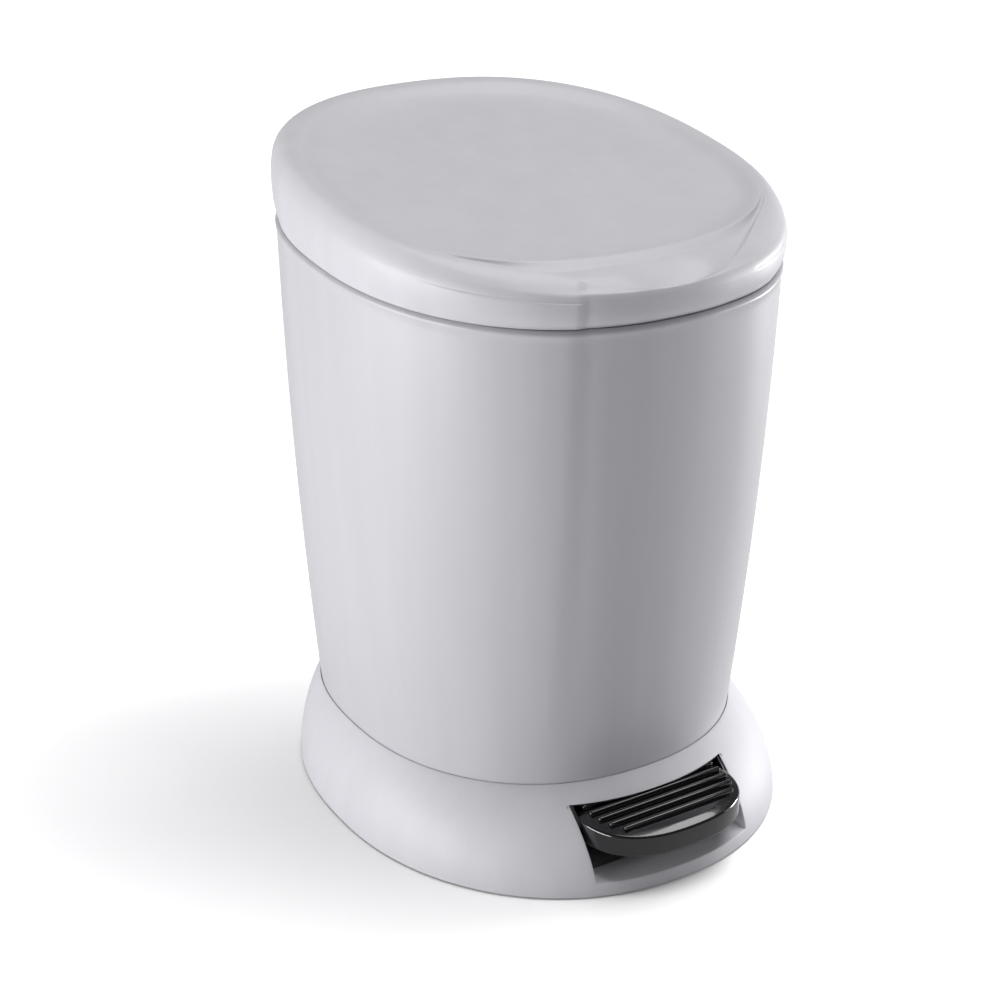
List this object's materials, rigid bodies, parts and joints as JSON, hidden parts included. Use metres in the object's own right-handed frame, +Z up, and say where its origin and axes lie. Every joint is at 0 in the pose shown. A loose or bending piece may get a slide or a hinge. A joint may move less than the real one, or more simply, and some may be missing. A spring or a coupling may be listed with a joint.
{
  "type": "pedal trash can",
  "caption": "Oval pedal bin: tapered body on a domed skirt, hinged lid with a thumb scoop, ribbed foot pedal, lever and lift rod, inner bucket with a bail.",
  "frame": {"origin": "on the floor, under the middle of the object's overall box", "axes": "+Z up, -Y towards the front, where the pedal is, +X to the right as seen by someone facing the front"},
  "size_m": [0.2308, 0.2776, 0.3366],
  "materials": {
    "pearl_shell": "satin pearl-white moulded plastic with a faint silver sheen",
    "pedal_black": "glossy black moulded plastic",
    "inner_black": "plain black moulded plastic",
    "inner_grey": "plain mid-grey moulded plastic",
    "bucket_grey": "light grey moulded plastic, slightly translucent looking",
    "foot_rubber": "black rubber",
    "steel": "zinc-plated steel"
  },
  "bodies": {
    "base": {"base_skirt": "pearl_shell", "recess_liner": "inner_black", "base_plate": "inner_grey", "foot_1": "foot_rubber", "foot_2": "foot_rubber", "foot_3": "foot_rubber", "foot_4": "foot_rubber", "base_screw_1": "steel", "base_screw_2": "steel", "base_screw_3": "steel", "base_screw_4": "steel", "pivot_bracket_left": "inner_grey", "pivot_bracket_right": "inner_grey", "pedal_axle": "steel", "outer_body": "pearl_shell", "rod_guide_lower": "inner_grey", "rod_guide_upper": "inner_grey", "hinge_bracket": "pearl_shell", "hinge_screw_left": "steel", "hinge_screw_right": "steel", "hinge_pin": "steel"},
    "pedal": {"pedal_pad": "pedal_black", "pedal_lever": "steel", "pedal_screw_left": "steel", "pedal_screw_right": "steel"},
    "rod": {"lift_rod": "steel", "rod_head": "inner_black", "rod_foot": "inner_black"},
    "lid": {"lid_shell": "pearl_shell", "lid_ring": "pearl_shell", "lid_lever": "inner_grey", "lid_screw_left": "steel", "lid_screw_right": "steel"},
    "bucket": {"bucket": "bucket_grey"},
    "bail": {"bail_wire": "steel", "bail_grip": "inner_black"}
  },
  "joints": [
    {"name": "lid_hinge", "type": "hinge", "parent": "base", "child": "lid", "pos_m": [0, 0.1348, 0.294], "axis": [-1, 0, 0], "range_deg": [0, 76]},
    {"name": "pedal_pivot", "type": "hinge", "parent": "base", "child": "pedal", "pos_m": [0, -0.042, 0.025], "axis": [1, 0, 0], "range_deg": [0, 9.33]},
    {"name": "rod_lift", "type": "slide", "parent": "base", "child": "rod", "axis": [0, 0, 1], "range_m": [0, 0.0254]},
    {"name": "bucket_lift", "type": "slide", "parent": "base", "child": "bucket", "axis": [0, 0, 1], "range_m": [0, 0.006]},
    {"name": "bail_swing", "type": "hinge", "parent": "bucket", "child": "bail", "pos_m": [0, 0.0056, 0.267], "axis": [1, 0, 0], "range_deg": [0, 25]}
  ],
  "couplings": [
    {"joint": "pedal_pivot", "follows": "lid_hinge", "ratio": 0.1226},
    {"joint": "rod_lift", "follows": "lid_hinge", "m_per_rad": 0.01907}
  ]
}
